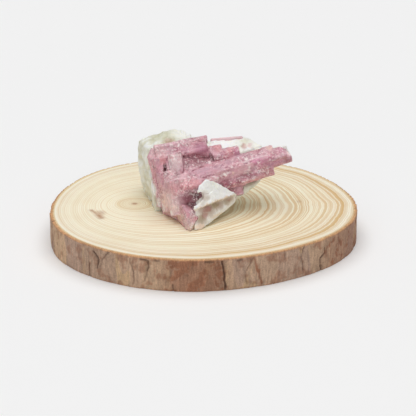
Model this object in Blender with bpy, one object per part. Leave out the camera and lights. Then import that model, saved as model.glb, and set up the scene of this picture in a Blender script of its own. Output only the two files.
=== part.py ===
"""A rough cluster of pink tourmaline in quartz, resting on a round slice of a pine branch."""
import math

import bmesh
import bpy
from mathutils import Matrix, Vector

# Every size and place below is in millimetres. The origin is the centre of the slice's underside,
# +X runs along the long crystal, -Y is the front and +Z is up.
MM = 0.001
GAP = 0.3

# The wood slice
THICKNESS = 10.0
MEAN_RADIUS = 48.8
BARK_THICKNESS = 1.2
OUTLINE_POINTS = 120
# Each wave of the outline: its count round the slice, its height, and a peak's direction in degrees
OUTLINE_WAVES = ((1, 0.76, 165), (2, 0.76, 21), (3, 0.59, -7), (4, 0.25, -38), (5, 0.28, -15))

# The stone's underside, just clear of the wood
SEAT = THICKNESS + GAP
COLUMN_SIDES = 9
# The way that the stone's show side faces, a little upwards
TOWARDS_FRONT = Vector((0, -0.94, 0.34))
# How far a hollow's cutter stands out of the stone
CLEAR_OF_STONE = 3

# Colour, roughness
WOOD = ((0.83, 0.68, 0.42), 0.65)
BARK = ((0.27, 0.16, 0.10), 0.9)
QUARTZ = ((0.78, 0.79, 0.70), 0.4)
FELDSPAR = ((0.9, 0.9, 0.87), 0.45)
TOURMALINE = ((0.52, 0.21, 0.27), 0.3)


def outline_radius(angle):
    """The slice's radius over the bark in a direction, from its mean and a few waves."""
    radius = MEAN_RADIUS
    for count, height, peak in OUTLINE_WAVES:
        radius += height * math.cos(count * (angle - math.radians(peak)))
    return radius


def outline(inset=0.0):
    """The slice's outline, moved in by a distance and centred on the whole slice's box."""
    angles = [math.tau * step / OUTLINE_POINTS for step in range(OUTLINE_POINTS)]
    bark = [Vector((math.cos(angle), math.sin(angle))) * outline_radius(angle) for angle in angles]
    middle = Vector([(min(values) + max(values)) / 2 for values in zip(*bark)])
    return [point * (1 - inset / point.length) - middle for point in bark]


def finish(name, colour_and_roughness):
    """A plain material in the colour and roughness of one kind of stone or wood."""
    colour, roughness = colour_and_roughness
    material = bpy.data.materials.new(name)
    material.use_nodes = True
    shader = material.node_tree.nodes["Principled BSDF"]
    shader.inputs["Base Color"].default_value = (*colour, 1)
    shader.inputs["Roughness"].default_value = roughness
    shader.inputs["Metallic"].default_value = 0
    return material


def add_object(name, bm, collection=None):
    """Turns a bmesh in millimetres into an object in metres."""
    bmesh.ops.recalc_face_normals(bm, faces=bm.faces)
    bmesh.ops.scale(bm, vec=(MM, MM, MM), verts=bm.verts)
    mesh = bpy.data.meshes.new(name)
    bm.to_mesh(mesh)
    bm.free()
    made = bpy.data.objects.new(name, mesh)
    (collection or bpy.context.scene.collection).objects.link(made)
    return made


def face_from(bm, points, height):
    """A flat face at a height, and its corners."""
    corners = [bm.verts.new((*point, height)) for point in points]
    return bm.faces.new(corners), corners


def wood_slice():
    """The sawn wood inside the bark."""
    bm = bmesh.new()
    face, _ = face_from(bm, outline(BARK_THICKNESS + GAP), 0.0)
    raised = bmesh.ops.extrude_face_region(bm, geom=[face], use_keep_orig=True)
    top = [item for item in raised["geom"] if isinstance(item, bmesh.types.BMVert)]
    bmesh.ops.translate(bm, verts=top, vec=(0, 0, THICKNESS))
    made = add_object("wood_slice", bm)
    made.data.materials.append(finish("pine_wood", WOOD))


def bark():
    """The ring of bark, as thick as the slice."""
    bm = bmesh.new()
    loops = []
    for inset in (0.0, BARK_THICKNESS):
        corners = [bm.verts.new((*point, 0.0)) for point in outline(inset)]
        loops += [bm.edges.new((corners[step - 1], corners[step])) for step in range(OUTLINE_POINTS)]
    ring = bmesh.ops.bridge_loops(bm, edges=loops)["faces"]
    raised = bmesh.ops.extrude_face_region(bm, geom=ring, use_keep_orig=True)
    top = [item for item in raised["geom"] if isinstance(item, bmesh.types.BMVert)]
    bmesh.ops.translate(bm, verts=top, vec=(0, 0, THICKNESS))
    made = add_object("bark", bm)
    made.data.materials.append(finish("pine_bark", BARK))


def column(start, end, radius, sides=COLUMN_SIDES, turn=0.0, taper=1.0):
    """A crystal column between two centres. What it returns builds it, swollen if asked."""
    start, end = Vector(start), Vector(end)
    axis = end - start

    def build(swell=0.0):
        bm = bmesh.new()
        across = swell / math.cos(math.pi / sides)
        facing = axis.to_track_quat("Z", "Y").to_matrix().to_4x4()
        place = Matrix.Translation((start + end) / 2) @ facing @ Matrix.Rotation(turn, 4, "Z")
        bmesh.ops.create_cone(
            bm, cap_ends=True, segments=sides, radius1=radius + across, radius2=radius * taper + across,
            depth=axis.length + 2 * swell, matrix=place)
        return bm

    return build


def chunk(*corners):
    """A broken lump: the convex solid round its corners. What it returns builds it, swollen if asked."""
    def build(swell=0.0):
        bm = bmesh.new()
        for corner in corners:
            bm.verts.new(corner)
        hull = bmesh.ops.convex_hull(bm, input=bm.verts, use_existing_faces=False)
        loose = {vert for vert in hull["geom_interior"] if isinstance(vert, bmesh.types.BMVert)}
        bmesh.ops.delete(bm, geom=list(loose), context="VERTS")
        bmesh.ops.recalc_face_normals(bm, faces=bm.faces)
        bm.normal_update()
        moves = [(vert, vert.normal * swell * vert.calc_shell_factor()) for vert in bm.verts]
        for vert, move in moves:
            vert.co += move
        return bm

    return build


def bundle(start, end, radius, columns, spread=0.62, shrink=0.45, stagger=0.1):
    """A main column with thinner parallel ones grown round it, each a little longer or shorter."""
    start, end = Vector(start), Vector(end)
    axis = end - start
    side = axis.normalized().orthogonal()
    across = axis.normalized().cross(side)
    golden = math.pi * (3 - math.sqrt(5))
    made = [column(start, end, radius)]
    for number in range(columns):
        angle = number * golden
        offset = (side * math.cos(angle) + across * math.sin(angle)) * radius * spread
        early = axis * stagger * math.sin(2.1 * number)
        late = axis * stagger * math.sin(3.7 * number + 1)
        size = radius * (shrink + 0.12 * math.sin(5.3 * number))
        made.append(column(start + offset + early, end + offset + late, size, turn=angle))
    return made


def operands(name, shapes, swell=0.0):
    """A collection of guide solids for a Boolean, which are neither rendered nor part of the stone."""
    guides = bpy.data.collections.new(name)
    bpy.context.scene.collection.children.link(guides)
    for number, shape in enumerate(shapes):
        guide = add_object(f"{name}_{number}", shape(swell), guides)
        guide.display_type = "WIRE"
        guide.hide_render = True
    guides.hide_render = True
    return guides


def boolean(target, operation, guides):
    modifier = target.modifiers.new(operation.title(), "BOOLEAN")
    modifier.operation = operation
    modifier.operand_type = "COLLECTION"
    modifier.collection = guides
    modifier.solver = "EXACT"


def piece(name, material, shapes, beside=(), hollows=()):
    """One node of the stone: its shapes joined, less its hollows and the room its neighbours need."""
    made = add_object(name, shapes[0]())
    made.data.materials.append(material)
    if len(shapes) > 1:
        boolean(made, "UNION", operands(f"{name}_shape", shapes[1:]))
    if hollows:
        boolean(made, "DIFFERENCE", operands(f"{name}_hollow", hollows))
    taken = [shape for neighbour in beside for shape in neighbour]
    if taken:
        boolean(made, "DIFFERENCE", operands(f"{name}_room", taken, GAP))


def recess(edge, depth, narrowing):
    """A cutter for a hollow, from points round its edge. It narrows towards its floor."""
    points = [Vector(point) for point in edge]
    middle = sum(points, Vector()) / len(points)
    mouth = [point + TOWARDS_FRONT * CLEAR_OF_STONE for point in points]
    floor = [middle + (point - middle) * narrowing - TOWARDS_FRONT * depth for point in points]
    return chunk(*mouth, *floor)


def long_crystal():
    """The crystal that rises to the right, a thick column with ridges along it."""
    return [
        column((-8.4, -11.8, 19.2), (24.9, -1.0, 27.3), 3.1, taper=0.8),
        column((-9.6, -13.2, 20.8), (25.4, -2.2, 27.8), 1.3, turn=0.3),
        column((-5.6, -8.4, 22.2), (21.9, 0.9, 27.9), 1.5, turn=0.6),
        column((-2.0, -11.0, 18.6), (27.5, -1.4, 26.4), 1.6, turn=0.2, taper=0.7),
        column((0.5, -7.2, 19.6), (26.4, 1.2, 26.8), 1.7, turn=0.5, taper=0.9),
        column((6.0, -9.3, 19.6), (21.6, -4.1, 23.2), 1.6, turn=0.1),
        column((-3.2, -9.4, 23.3), (15.6, -3.4, 27.4), 1.1, turn=0.4),
    ]


def lower_crystals():
    """Short crystals under the long one, and two that cross down to the white block."""
    return bundle((1.5, -8.4, 18.6), (18.9, -3.6, 23.4), 1.9, 5, stagger=0.05) + [
        column((8.4, -8.4, 14.9), (7.2, -7.0, 22), 1.6),
        column((11.2, -7.5, 16.2), (10.4, -6.0, 22), 1.4),
    ]


def front_columns():
    """The pink mass at the front and left: a body, three steep columns, a foot and the hollow's floor."""
    return [
        chunk((-15.8, -3.6, 24.8), (-17.8, -2.8, 27), (-16.8, -1, 29.2), (-10, -4, 27.5), (3, -1.5, 26),
              (4.5, -3.5, 25), (0, -10, 22.4), (-2, -16, 21.8), (-8, -15.5, 21.6), (-12, -12, 22),
              (-14.4, -5.4, 15.5), (-13.2, -8.2, SEAT), (-8.5, -14.6, SEAT), (-2, -17, 12), (0, -12, 12),
              (4, -5, 22)),
        column((-12.2, -6.8, 12.2), (-13.8, -4.0, 27.2), 2.7),
        column((-10.0, -11.4, 12.2), (-12.0, -8.4, 23.8), 2.9, turn=0.2),
        column((-7.3, -16.0, 12.4), (-9.0, -12.2, 22.2), 3.1, turn=0.4),
        chunk((-4.3, -24.6, SEAT), (-8.5, -15, SEAT), (-1.6, -19.4, SEAT), (-5.0, -22.4, 15.2),
              (-7, -19.6, 17), (-1.9, -21.4, 13.4), (-2, -14, 14)),
        chunk((-3.4, -17.8, 20.3), (-0.8, -17.8, 20.1), (-0.5, -17.9, 18.9), (-2.4, -17.9, 17.3),
              (-3.4, -17.9, 17.3), (-3.4, -13, 20.3), (-0.8, -13, 20.1), (-0.5, -13, 18.9),
              (-2.4, -13, 17.3)),
    ]


def front_hollow():
    """The deep hollow low at the front, between the columns and the white block."""
    return recess([(-8, -20, 21.2), (-4.3, -18, 21.2), (0.6, -18, 20.9), (1.1, -19, 19), (-1.8, -21, 16.4),
                   (-4.3, -22, 16.0), (-6.8, -21, 17.6)], depth=2.6, narrowing=0.7)


def side_hollow():
    """The narrow hollow to the left of the upright stub."""
    return recess([(-13.6, -8, 27.6), (-11.6, -8.6, 27.4), (-11.4, -9.6, 24.2), (-12.6, -9.6, 23.6)],
                  depth=2.4, narrowing=0.8)


def white_block():
    """The white block: a bright upper part whose front edge stands over a lower, greyer foot."""
    upper = chunk((-1.5, -17, 21.9), (0.6, -15, 23.2), (2.8, -14, 22.6), (4.7, -13, 20.4),
                  (9.9, -10.6, 17.2), (7.2, -13.5, 17.5), (2.2, -18.1, 17.1), (-3.2, -21.4, 15.9),
                  (9.2, -8.6, 15), (0, -15, 13), (0, -9, 20))
    foot = chunk((9.6, -10.2, 16.4), (6.6, -13.1, 16.4), (1.8, -17.6, 16.2), (-2.6, -20.8, 15),
                 (9.7, -9.7, 14.1), (6.4, -13.3, 12.8), (1.9, -19.3, 11.2), (-0.9, -22.8, SEAT),
                 (-2.8, -24, SEAT), (0, -12, SEAT), (6, -7, 13), (0, -9, 18))
    return [upper, foot]


def quartz():
    """The quartz that holds the crystals, from the mass under them to the chip behind the long one."""
    core = chunk((-15.5, -2, SEAT), (-8, -12, SEAT), (0, -13, SEAT), (4, -4, SEAT), (5, 8, SEAT),
                 (-4, 15, SEAT), (-17, 9, SEAT), (-16, -2, 26), (-10, -6, 23), (0, -6, 21), (10, -4, 23),
                 (14, 6, 26), (0, 12, 27.5), (-12, 12, 28))
    tall_lump = chunk((-21.5, 11, 23.8), (-21.2, 12, 27.6), (-18.2, 12, 28.9), (-14.3, 12, 30.3),
                      (-9.4, 12, 31.6), (-7.1, 11, 31.3), (-4.5, 10, 30.2), (-20.9, 9.5, 17.7),
                      (-19.7, 9, 11.3), (-18, 8.5, SEAT), (-16.4, 1, SEAT), (-17, 16.5, 22), (-10, 18, 24),
                      (-3, 16, 22), (-14, 15, SEAT), (-16.8, -1, 28), (-5, 3, 28), (-4, 12, 14))
    left_foot = chunk((-16.4, 0.6, SEAT), (-15.2, -6.6, SEAT), (-15.8, -5.6, 14), (-16.6, -4, 18),
                      (-17.2, -2, 23), (-12, 0, 24), (-12, 0, SEAT), (-12, -6, SEAT))
    left_knob = chunk((-20.6, 8, 20), (-21.8, 12, 20), (-20, 16, 18), (-15, 17, 16), (-18, 8, 14),
                      (-14, 10, 22), (-19.6, 13, 12))
    ledge = chunk((9.8, -9.6, 14.8), (11.2, -8.6, 15.6), (15.9, -6.6, 18.6), (18.3, -4.6, 20.4),
                  (18.6, -4.2, 21.4), (19, -1, 22.6), (20, 4, 24), (16, 9, 26), (10, 10, 24), (4, 8, 13),
                  (4, -4, 12), (2, -8, 20), (12, -5, 22))
    slab = chunk((1.4, 4, 28), (2.3, 8, 29.2), (5.8, 9.4, 29.5), (8.8, 10, 29.7), (13.3, 11, 29),
                 (18.4, 8, 27.3), (11.5, 2, 26.6), (4, 2, 26.6), (3, 3, 22), (14, 3, 22), (17, 8, 22),
                 (3, 10, 22))
    chip = chunk((15, 6, 26.3), (26.3, 5.2, 27.9), (27.7, 5.6, 25.7), (27, 4.6, 24.2), (15, 2, 22),
                 (15, 9, 25))
    back_wall = chunk((-12, 13, 13), (-6, 17.2, 15), (4, 14.6, 16), (9, 11.4, 20), (14, 10.6, 25),
                      (4, 12.4, 27), (-6, 15.4, 28), (-12, 10, 26), (4, 6, 14))
    return [core, tall_lump, left_foot, left_knob, ledge, slab, chip, back_wall]


def stone():
    """Every crystal and the quartz that holds them. Each piece leaves room for those before it."""
    long_one = long_crystal()
    upper_left = bundle((-15.2, -2.3, 27.2), (0.7, 0.2, 29.6), 2.6, 5, stagger=0.04)
    stub = bundle((-7.9, -10.1, 22.2), (-9.1, -6.6, 29.0), 2.0, 4, stagger=0.06)
    back = [
        column((-2, 0.2, 26.4), (5.6, 0.8, 27.5), 2.1),
        column((3, -0.8, 25.8), (11.0, 0.6, 27.4), 2.1, turn=0.3),
    ]
    lower = lower_crystals()
    sliver = [column((2.3, 7.7, 29.0), (12.3, 9.8, 29.3), 0.5, sides=6)]
    cluster = front_columns()
    block = white_block()
    hollow = front_hollow()

    pink = finish("pink_tourmaline", TOURMALINE)
    piece("tourmaline_long", pink, long_one)
    piece("tourmaline_upper_left", pink, upper_left)
    piece("tourmaline_stub", pink, stub, beside=(long_one, upper_left))
    piece("tourmaline_lower", pink, lower, beside=(long_one,))
    piece("tourmaline_back", pink, back, beside=(long_one, upper_left))
    piece("tourmaline_sliver", pink, sliver)
    piece("tourmaline_cluster", pink, cluster, beside=(long_one, upper_left, stub, lower, back),
          hollows=[hollow, side_hollow()])
    piece("white_block", finish("white_feldspar", FELDSPAR), block, beside=(long_one, lower, cluster),
          hollows=[hollow])
    piece("quartz_matrix", finish("greenish_quartz", QUARTZ), quartz(),
          beside=(long_one, upper_left, stub, lower, back, sliver, cluster, block))


def main():
    for old in list(bpy.data.objects):
        bpy.data.objects.remove(old)
    wood_slice()
    bark()
    stone()


main()
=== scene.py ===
"""Looks for a rough cluster of pink tourmaline in quartz that rests on a round slice of a pine branch."""
import math
import random

import bmesh
import bpy
import numpy as np
from bpy.props import FloatProperty, FloatVectorProperty, IntProperty, PointerProperty
from bpy.types import Operator, Panel, PropertyGroup
from mathutils import Matrix, Vector, noise
from mathutils.bvhtree import BVHTree


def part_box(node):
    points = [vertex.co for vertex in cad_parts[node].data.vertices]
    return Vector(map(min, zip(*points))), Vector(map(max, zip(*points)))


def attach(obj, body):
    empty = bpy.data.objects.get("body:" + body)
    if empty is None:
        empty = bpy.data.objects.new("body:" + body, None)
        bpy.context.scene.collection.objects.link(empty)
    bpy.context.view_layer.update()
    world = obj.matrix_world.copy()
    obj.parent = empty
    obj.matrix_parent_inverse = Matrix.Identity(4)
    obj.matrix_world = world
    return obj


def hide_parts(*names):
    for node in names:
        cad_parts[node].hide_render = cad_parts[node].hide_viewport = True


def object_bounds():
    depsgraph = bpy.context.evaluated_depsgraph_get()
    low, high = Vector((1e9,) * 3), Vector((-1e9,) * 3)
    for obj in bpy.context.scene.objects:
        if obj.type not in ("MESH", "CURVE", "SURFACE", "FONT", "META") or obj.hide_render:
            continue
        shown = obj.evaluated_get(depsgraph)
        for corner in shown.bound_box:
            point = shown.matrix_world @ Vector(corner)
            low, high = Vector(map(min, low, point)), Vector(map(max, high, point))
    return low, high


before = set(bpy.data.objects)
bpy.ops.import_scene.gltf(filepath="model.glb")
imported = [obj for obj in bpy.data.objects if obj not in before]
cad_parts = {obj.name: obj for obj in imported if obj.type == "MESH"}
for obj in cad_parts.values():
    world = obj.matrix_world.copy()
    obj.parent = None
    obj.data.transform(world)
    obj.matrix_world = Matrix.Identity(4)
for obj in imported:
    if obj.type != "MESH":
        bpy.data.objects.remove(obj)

bl_info = {
    "name": "Tourmaline on a Wood Slice",
    "version": (1, 0, 0),
    "blender": (4, 5, 0),
    "location": "3D Viewport > Sidebar > Stone",
    "description": "Builds a rough pink tourmaline, its quartz and the pine slice under it",
    "category": "Add Mesh",
}

CAD_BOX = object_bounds()

# Pieces are shaped in millimetres and scaled to metres once they are finished
MM = 0.001
BODY = "root"

# How much of a node's 0.3 mm gap to its neighbours each skin takes up
SEAM = 0.2

# The wood's top face, which nothing of the stone sinks into
WOOD_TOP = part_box("wood_slice")[1].z / MM


def paint(red, green, blue):
    """A colour read as 0 to 255 on a screen, as the linear values that shaders use."""
    def linear(value):
        share = value / 255
        return share / 12.92 if share <= 0.04045 else ((share + 0.055) / 1.055) ** 2.4
    return (linear(red), linear(green), linear(blue))


def colour_property(name, description, screen_colour):
    return FloatVectorProperty(name=name, description=description, default=paint(*screen_colour),
                               subtype="COLOR", size=3, min=0, max=1)


def length_property(name, description, metres):
    return FloatProperty(name=name, description=description, default=metres, unit="LENGTH")


def angle_property(name, description, degrees):
    return FloatProperty(name=name, description=description, default=math.radians(degrees), subtype="ANGLE")


def way_property(name, description, way):
    return FloatVectorProperty(name=name, description=description, default=way, subtype="XYZ")


# Settings


class SliceSettings(PropertyGroup):
    """Sizes and colours of the sawn wood."""

    rings: IntProperty(
        name="Rings", description="Growth rings from the pith to the bark", default=39, min=5)
    pith_x: length_property("Pith X", "The pith's place to the right of the middle", -0.0224)
    pith_y: length_property("Pith Y", "The pith's place behind the middle", 0.0005)
    early: colour_property("Early wood", "The pale spring part of a ring", (253, 247, 224))
    outer: colour_property("Sapwood", "The paler wood of the youngest rings", (254, 250, 236))
    late: colour_property("Late wood", "The tan summer part of a ring", (208, 158, 66))
    heart: colour_property("Knot", "The knot's and the pith's brown", (172, 118, 80))


class BarkSettings(PropertyGroup):
    """Sizes and colours of the bark."""

    plate: length_property("Plate width", "Usual width of a bark plate", 0.008)
    relief: length_property("Relief", "Depth of the cracks between plates", 0.0006)
    grey: colour_property("Grey plates", "The weathered face of a plate", (180, 150, 132))
    tan: colour_property("Tan plates", "A fresher, paler plate", (206, 172, 136))
    red: colour_property("Red plates", "The red-brown of flaked plates", (150, 102, 76))
    crack: colour_property("Cracks", "The dark of the cracks", (72, 46, 34))
    sap: colour_property("Sap", "The pale ring next to the wood", (236, 216, 172))
    rim: colour_property("Rim", "The thin tan ring in the bark", (218, 176, 128))
    edge: colour_property("Edge", "The orange-brown line along the edges", (190, 134, 94))


class StoneSettings(PropertyGroup):
    """Grain and colours of the stone."""

    voxel: length_property("Skin detail", "Size of the cells of a crystal's skin", 0.00022)
    quartz_voxel: length_property("Quartz detail", "Size of the cells of the quartz's skin", 0.00026)
    pink: colour_property("Pink", "The crystals' usual pink", (215, 160, 171))
    # The pale pink is partly painted highlight on ridges, and the colour of the painted glints
    pale: colour_property("Pale pink", "The crystals' ridges and glints", (251, 236, 234))
    # The deep pink is painted shade in the grooves and in small pits
    deep: colour_property("Deep pink", "The crystals' grooves", (164, 94, 107))
    rose: colour_property("Rose", "The smooth end of the upper crystal", (188, 120, 144))
    mauve: colour_property("Mauve", "Smooth greyish facets", (202, 155, 170))
    # Crimson also paints shade under the crystals' lower edges
    red: colour_property("Crimson", "Clear, dark red breaks", (154, 76, 92))
    salmon: colour_property("Salmon", "Warm pink low at the front", (218, 144, 148))
    bright: colour_property("Bright pink", "Where the light shines through", (214, 126, 162))
    brown: colour_property("Brown", "Stained pink beside the quartz", (172, 118, 110))
    # The hollows' purple-brown is partly painted shade
    dark: colour_property("Hollows", "The purple-brown of the deep hollows", (104, 60, 64))
    peach: colour_property("Peach", "Stained patches low on the stone", (243, 216, 194))
    quartz: colour_property("Quartz", "The quartz's greenish white", (246, 247, 240))
    # The quartz's grey-green: painted shade in its hollows, and the tint of its green patches
    quartz_green_and_shade: colour_property("Quartz shade", "The quartz's grey-green hollows", (222, 219, 197))
    white: colour_property("White block", "The white block's bright face", (254, 254, 251))
    # The grey foot and the inner wall are painted shade on the white block's lower face and on its side by
    # the hollow; the foot also has its own grey translucency
    foot: colour_property("Grey foot", "The block's grey-beige foot", (196, 176, 160))
    wall_shade: colour_property("Inner wall", "The block's shaded side, beside the hollow", (214, 202, 192))


class StageSettings(PropertyGroup):
    """The floor, the light and the camera."""

    floor: colour_property("Floor", "The plain pale floor", (246, 246, 246))
    tilt: angle_property("Camera height", "How far the camera looks down", 20)
    distance: length_property("Distance", "From the camera to the slice's top", 0.5)
    ambient: FloatProperty(name="Ambient", description="Strength of the even light all round", default=0.25)
    key: FloatProperty(name="Key light", description="Strength of the large soft light", default=1.87)
    fill: FloatProperty(
        name="Fill light", description="Strength of the soft light from the front", default=0.7)
    softness: angle_property("Softness", "How wide each light looks from the stone", 70)
    towards: way_property("Key place", "The way to the large light from the stone", (0, 0.08, 1))
    fill_towards: way_property("Fill place", "The way to the fill light from the stone", (-0.1, -1, 0.65))


# Shared mesh work


def node_copy(name):
    """A merged copy of a packed node, in millimetres."""
    bm = bmesh.new()
    bm.from_mesh(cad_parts[name].data)
    bmesh.ops.scale(bm, vec=Vector((1, 1, 1)) / MM, verts=bm.verts)
    bmesh.ops.remove_doubles(bm, verts=bm.verts, dist=0.001)
    return bm


def new_piece(name, bm, material, nodes):
    """Puts a finished bmesh, in millimetres, into the scene in place of its packed nodes."""
    bmesh.ops.scale(bm, vec=(MM, MM, MM), verts=bm.verts)
    mesh = bpy.data.meshes.new(name)
    bm.to_mesh(mesh)
    bm.free()
    mesh.materials.append(material)
    mesh.shade_smooth()
    piece = bpy.data.objects.new(name, mesh)
    bpy.context.scene.collection.objects.link(piece)
    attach(piece, BODY)
    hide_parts(*nodes)
    return piece


def write_attribute(mesh, name, values):
    """Stores one number for each vertex, for the materials to read."""
    mesh.attributes.new(name, "FLOAT", "POINT").data.foreach_set("value", np.asarray(values, np.float32))


def remeshed(bm, voxel):
    """The closed skin round everything in a bmesh, in even cells, as a mesh in millimetres."""
    mesh = bpy.data.meshes.new("skin")
    bm.to_mesh(mesh)
    bm.free()
    skin = bpy.data.objects.new("skin", mesh)
    bpy.context.scene.collection.objects.link(skin)
    modifier = skin.modifiers.new("Remesh", "REMESH")
    modifier.mode = "VOXEL"
    modifier.voxel_size = voxel / MM
    depsgraph = bpy.context.evaluated_depsgraph_get()
    made = bpy.data.meshes.new_from_object(skin.evaluated_get(depsgraph))
    bpy.data.objects.remove(skin)
    bpy.data.meshes.remove(mesh)
    out = bmesh.new()
    out.from_mesh(made)
    bpy.data.meshes.remove(made)
    return out


def swell(bm, distance):
    """Moves every face outwards by a distance."""
    bm.normal_update()
    moves = [(vert, vert.normal * distance * min(vert.calc_shell_factor(), 2)) for vert in bm.verts]
    for vert, move in moves:
        vert.co += move


def soften(bm, times):
    for _ in range(times):
        bmesh.ops.smooth_vert(
            bm, verts=bm.verts, factor=0.5, use_axis_x=True, use_axis_y=True, use_axis_z=True)


def steps_between(low, high, count):
    return [low + (high - low) * step / count for step in range(count + 1)]


def add_column(bm, start, end, radius, sides, turn):
    """One straight crystal column with flat ends."""
    start, end = Vector(start), Vector(end)
    axis = end - start
    facing = axis.to_track_quat("Z", "Y").to_matrix().to_4x4()
    place = Matrix.Translation((start + end) / 2) @ facing @ Matrix.Rotation(turn, 4, "Z")
    bmesh.ops.create_cone(
        bm, cap_ends=True, segments=sides, radius1=radius, radius2=radius, depth=axis.length, matrix=place)


def spots_on(bm, count, chance):
    """Seeded places spread evenly over the faces, each with the face's normal."""
    faces = list(bm.faces)
    areas = [face.calc_area() for face in faces]
    found = []
    for face in chance.choices(faces, weights=areas, k=count):
        corners = [vert.co for vert in face.verts]
        shares = [chance.random() for _ in corners]
        place = sum((corner * share for corner, share in zip(corners, shares)), Vector()) / sum(shares)
        found.append((place, face.normal.copy()))
    return found


def columns_over(bm, axis, count, radius, length, seed, lean=0.03, proud=0.4):
    """Thin columns along the crystal's axis that stand a little out of its faces and end at its ends."""
    chance = random.Random(seed)
    axis = Vector(axis).normalized()
    base = BVHTree.FromBMesh(bm)
    for place, normal in spots_on(bm, count, chance):
        size = radius * (0.5 + chance.random())
        middle = place - normal * size * (1 - proud)
        tilted = (axis + Vector([chance.uniform(-lean, lean) for _ in range(3)])).normalized()
        ends = []
        for way in (-tilted, tilted):
            room = base.ray_cast(middle, way)[3] or 0
            reach = min(length * (0.2 + 0.8 * chance.random()), room + chance.uniform(-0.6, 0.25))
            ends.append(middle + way * max(0.1, reach))
        add_column(bm, *ends, size, chance.choice((5, 6, 7)), chance.random() * math.tau)


# Surface relief


def facets(point, size, seed):
    """Height of the small flat break that a point lies on: each cell of the stone has its own slant."""
    shifted = point / size + Vector((seed, 2.3 * seed, -1.7 * seed))
    centre = noise.voronoi(shifted)[1][0]
    slant = noise.cell_vector(centre * 57.3) - Vector((0.5, 0.5, 0.5))
    return slant.dot(shifted - centre) * size


def streaks(along, width, length, seed):
    """Ridges that run along Z, as a number from about -1 to 1."""
    return noise.noise(Vector((along.x / width, along.y / width, along.z / length + seed)))


def relieve(bm, relief, rough=1):
    """Moves each vertex along its normal by what the relief says there, and returns those heights."""
    bm.normal_update()
    shares = np.broadcast_to(rough, len(bm.verts))
    moves = [(vert, vert.normal.copy(), relief(vert.co, vert.normal, share))
             for vert, share in zip(bm.verts, shares)]
    for vert, normal, height in moves:
        vert.co += normal * height
        vert.co.z = max(vert.co.z, WOOD_TOP + 0.05)
    return np.array([height for _, _, height in moves])


def crystal_relief(axis, seed):
    """Relief of a rough crystal: ridges and long breaks along it, and grains where it is rough."""
    side = Vector(axis).normalized()
    # Takes the crystal's axis to Z
    turn = Vector(axis).to_track_quat("Z", "Y").to_matrix().transposed()

    def relief(point, normal, rough):
        along = turn @ point
        on_side = 1 - abs(normal.dot(side)) ** 2
        ridges = 0.08 * streaks(along, 1.6, 26, seed) + 0.03 * streaks(along, 0.6, 9, seed + 7)
        blocks = facets(Vector((along.x, along.y, along.z / 2.6)), 2.2, seed)
        crumbs = facets(point, 0.8, seed + 3)
        grain = noise.noise(point / 0.45 + Vector((seed, 0, 0)))
        return on_side * ridges + min(1, 0.3 + rough) * 0.22 * blocks + rough * (0.3 * crumbs + 0.07 * grain)

    return relief


def rough_relief(lump, facet, grain, seed):
    """Relief of broken quartz: soft lumps, slanted breaks of two sizes and a sugary grain."""
    def relief(point, normal, share):
        lumps = noise.noise(point / 2.2 + Vector((seed, 0, 0)))
        breaks = facets(point, 3.4, seed) + facets(point, 1.5, seed + 5)
        return lump * lumps + facet * breaks + grain * noise.noise(point / 0.45)

    return relief


# Markings. Places are in millimetres


def places(bm):
    return np.array([vert.co[:] for vert in bm.verts])


def jittered(points):
    """The points pushed about by a grain, so that a patch's edge is uneven."""
    pushes = [noise.noise_vector(Vector(point) / 1.2) * 0.5 + noise.noise_vector(Vector(point) / 0.4) * 0.3
              for point in points]
    return points + np.array(pushes)


def roughness_of(points, seed):
    """How granular the crystal is at each point, from about 0 on clean breaks to 1."""
    waves = [noise.noise(Vector(point) / 3.2 + Vector((0, seed, 0))) for point in points]
    rough = np.clip(0.75 + 1.2 * np.array(waves), 0.35, 1)
    return np.maximum(rough, spread(points, GRANULAR)) * (1 - 0.7 * spread(points, SMOOTH))


def spread(points, patches):
    """How strongly the patches mark each point. A patch is its middle, its reach each way and strength."""
    strongest = np.zeros(len(points))
    for middle, reach, strength in patches:
        away = (((points - middle) / reach) ** 2).sum(axis=1)
        strongest = np.maximum(strongest, strength * np.exp(-away ** 2))
    return strongest


def drawn(points, lines):
    """How strongly thin lines mark each point. A line is its start, its end, its width and its strength."""
    strongest = np.zeros(len(points))
    for start, end, width, strength in lines:
        start, run = np.array(start), np.subtract(end, start)
        share = np.clip((points - start) @ run / (run @ run), 0, 1)
        away = np.linalg.norm(points - start - share[:, None] * run, axis=1) / width
        strongest = np.maximum(strongest, strength * np.exp(-away ** 2))
    return strongest


# Where a crystal broke along a clean face
SMOOTH = (
    ((-0.9, -2.8, 29.8), (3.2, 2.4, 2.2), 1),
    ((11.4, -2.6, 27.4), (2.6, 2.4, 1.4), 0.9),
    ((7.6, -6.5, 26.5), (2.4, 2.4, 1.2), 0.8),
    ((1, -9.4, 24.6), (4.6, 2.4, 1.2), 0.9),
    ((11, -8.4, 24.4), (2.2, 2.4, 1.4), 0.9),
    ((-6.2, -16.7, 17.1), (1.9, 2.6, 1.7), 1),
    ((7.3, 8.7, 29.2), (7, 3, 1.6), 1),
)

# Where it broke into grains
GRANULAR = (
    ((-2.2, -16.2, 19.3), (3, 4, 2), 1),
    ((-3.7, -16.5, 15.7), (2, 3, 1.6), 1),
    ((-3.4, -5.8, 25.8), (3.4, 2.6, 1.4), 1),
    ((3, -2.6, 26.2), (3.4, 2, 1.6), 1),
    ((-13.2, -3.6, 29.4), (3.4, 3.6, 2.4), 1),
    ((-8.8, -9.6, 27.6), (2.4, 3, 3), 0.9),
    ((-4.5, -20, 13), (4.5, 5, 3.2), 1),
    ((16, -6.4, 23.4), (6, 3, 1.4), 1),
)

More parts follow.
